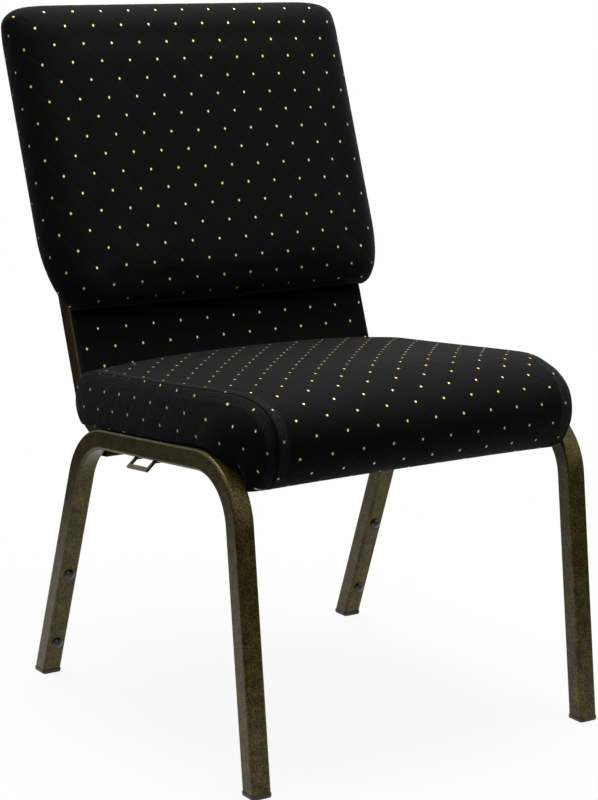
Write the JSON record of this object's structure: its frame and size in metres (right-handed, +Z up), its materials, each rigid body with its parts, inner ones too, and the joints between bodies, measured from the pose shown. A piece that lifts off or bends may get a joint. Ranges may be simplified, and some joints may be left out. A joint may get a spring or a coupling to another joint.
{
  "type": "stacking chair",
  "caption": "Armless stacking chair with a bent square-tube steel frame, a thick upholstered back pad over a thin lower panel, and a deep seat cushion with a rolled front edge.",
  "frame": {"origin": "on the floor, under the middle of the chair's overall length and width", "axes": "+Z up, +Y to the rear of the chair, +X to the right of a viewer who faces the chair's front"},
  "size_m": [0.518, 0.6423, 0.8557],
  "materials": {
    "frame_coat": "dark bronze hammered powder coat with fine gold veining, semi-gloss",
    "glide_plastic": "black nylon, satin",
    "bumper_plastic": "black, glossy",
    "dotted_fabric": "black woven fabric with a tone-on-tone diamond lattice and small gold dots",
    "foam": "open-cell polyurethane foam",
    "plywood": "plain plywood, unvarnished",
    "lining_cloth": "black non-woven lining",
    "zinc_steel": "bright zinc plate"
  },
  "bodies": {
    "root": {"left_leg_frame": "frame_coat", "right_leg_frame": "frame_coat", "left_back_upright": "frame_coat", "right_back_upright": "frame_coat", "front_cross_brace": "frame_coat", "rear_cross_brace": "frame_coat", "back_top_rail": "frame_coat", "left_ganging_loop": "frame_coat", "right_ganging_hook": "frame_coat", "front_left_glide": "glide_plastic", "front_right_glide": "glide_plastic", "rear_left_glide": "glide_plastic", "rear_right_glide": "glide_plastic", "left_lower_bumper": "bumper_plastic", "left_upper_bumper": "bumper_plastic", "right_lower_bumper": "bumper_plastic", "right_upper_bumper": "bumper_plastic", "seat_cover": "dotted_fabric", "back_cover": "dotted_fabric", "back_lower_pad": "dotted_fabric", "back_rear_cover": "dotted_fabric", "seat_foam": "foam", "back_foam": "foam", "seat_board": "plywood", "back_board": "plywood", "seat_dust_cover": "lining_cloth", "seat_bolts": "zinc_steel", "back_bolts": "zinc_steel", "seat_t_nuts": "zinc_steel", "back_t_nuts": "zinc_steel"}
  },
  "joints": []
}
